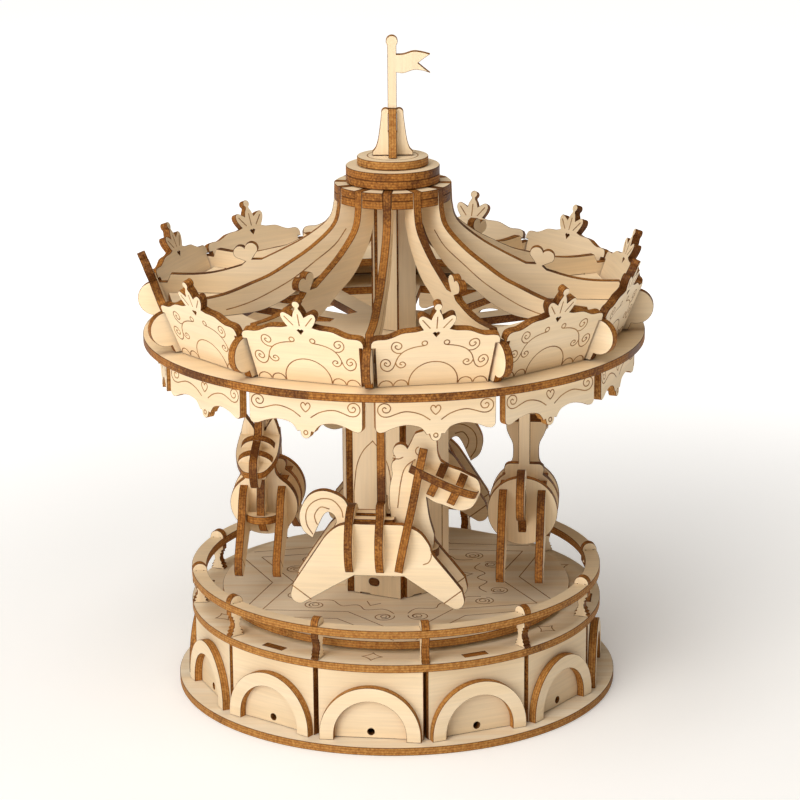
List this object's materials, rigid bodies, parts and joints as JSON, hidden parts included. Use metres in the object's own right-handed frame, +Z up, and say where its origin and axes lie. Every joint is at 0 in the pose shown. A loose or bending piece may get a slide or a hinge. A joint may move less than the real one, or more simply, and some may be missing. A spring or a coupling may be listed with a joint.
{
  "type": "wooden 3d jigsaw carousel",
  "caption": "Laser-cut plywood carousel model: drum base with arches and fence, turntable with horses on poles, ribbed canopy with crown boards and a flag.",
  "frame": {"origin": "centre of the base plate's underside, on the turning axis", "axes": "+Z up along the turning axis, front towards -Y, flag flying towards +X"},
  "size_m": [0.1522, 0.1522, 0.1954],
  "materials": {
    "base_wood": "raw laser-cut plywood, pale face and scorched brown edge, matte",
    "deck_wood": "raw laser-cut plywood, pale face and scorched brown edge, matte",
    "canopy_wood": "raw laser-cut plywood, pale face and scorched brown edge, matte",
    "horse_wood": "raw laser-cut plywood, pale face and scorched brown edge, matte",
    "edge_wood": "raw laser-cut plywood, pale face and scorched brown edge, matte"
  },
  "bodies": {
    "base": {"base_plate": "base_wood", "base_wall_ring": "base_wood", "base_top_plate": "base_wood", "fence": "base_wood", "pivot_pin": "edge_wood"},
    "turntable": {"deck": "deck_wood", "column_panel_1": "deck_wood", "column_panel_2": "deck_wood", "column_panel_3": "deck_wood", "column_panel_4": "deck_wood", "column_panel_5": "deck_wood", "column_panel_6": "deck_wood", "column_core": "edge_wood", "canopy_wheel": "canopy_wood", "canopy_rib_01": "canopy_wood", "canopy_rib_02": "canopy_wood", "canopy_rib_03": "canopy_wood", "canopy_rib_04": "canopy_wood", "canopy_rib_05": "canopy_wood", "canopy_rib_06": "canopy_wood", "canopy_rib_07": "canopy_wood", "canopy_rib_08": "canopy_wood", "canopy_rib_09": "canopy_wood", "canopy_rib_10": "canopy_wood", "canopy_rib_11": "canopy_wood", "canopy_rib_12": "canopy_wood", "crown_panel_01": "canopy_wood", "crown_panel_02": "canopy_wood", "crown_panel_03": "canopy_wood", "crown_panel_04": "canopy_wood", "crown_panel_05": "canopy_wood", "crown_panel_06": "canopy_wood", "crown_panel_07": "canopy_wood", "crown_panel_08": "canopy_wood", "crown_panel_09": "canopy_wood", "crown_panel_10": "canopy_wood", "crown_panel_11": "canopy_wood", "crown_panel_12": "canopy_wood", "crown_shelf": "canopy_wood", "hub_rings": "edge_wood", "cap_discs": "canopy_wood", "cap_disc_top": "canopy_wood", "finial_cross": "canopy_wood", "flag": "canopy_wood", "horse_1_centre_plate": "horse_wood", "horse_1_inner_side_plate": "horse_wood", "horse_1_outer_side_plate": "horse_wood", "horse_1_pole": "horse_wood", "horse_2_centre_plate": "horse_wood", "horse_2_inner_side_plate": "horse_wood", "horse_2_outer_side_plate": "horse_wood", "horse_2_pole": "horse_wood", "horse_3_centre_plate": "horse_wood", "horse_3_inner_side_plate": "horse_wood", "horse_3_outer_side_plate": "horse_wood", "horse_3_pole": "horse_wood", "horse_4_centre_plate": "horse_wood", "horse_4_inner_side_plate": "horse_wood", "horse_4_outer_side_plate": "horse_wood", "horse_4_pole": "horse_wood"}
  },
  "joints": [
    {"name": "turntable_spin", "type": "hinge", "parent": "base", "child": "turntable", "pos_m": [0, 0, 0.027], "axis": [0, 0, 1], "continuous": true}
  ]
}
